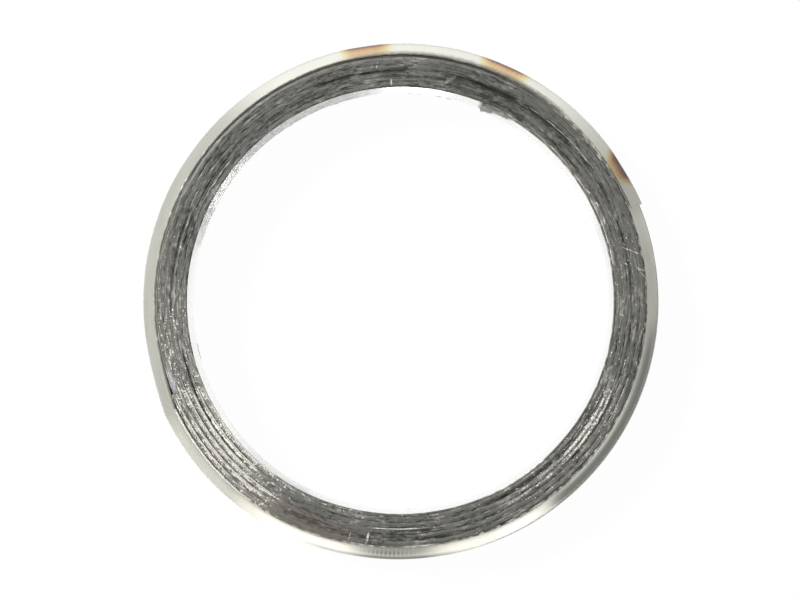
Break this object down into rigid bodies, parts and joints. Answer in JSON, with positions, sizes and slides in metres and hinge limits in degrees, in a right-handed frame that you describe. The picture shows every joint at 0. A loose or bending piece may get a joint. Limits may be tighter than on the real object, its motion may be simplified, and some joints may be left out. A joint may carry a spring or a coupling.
{
  "type": "spiral wound gasket",
  "caption": "Exhaust joint sealing ring of V-section steel strip wound in a flat spiral with a graphite filler strip, spot welded at its wraps.",
  "frame": {"origin": "on the bore's axis, in the lower sealing face", "axes": "+Z along the bore's axis to the upper sealing face; seen from +Z the strip is wound outwards clockwise, with its inner end 68 degrees and its outer end 22 degrees anticlockwise from +X"},
  "size_m": [0.0665, 0.0666, 0.005],
  "materials": {
    "stainless_strip": "thin rolled stainless strip, satin, with straw and violet heat tint at the spot welds",
    "graphite": "flexible graphite strip, matt dark grey, scored and flaked along the turns"
  },
  "bodies": {
    "root": {"winding_strip": "stainless_strip", "graphite_filler": "graphite"}
  },
  "joints": []
}
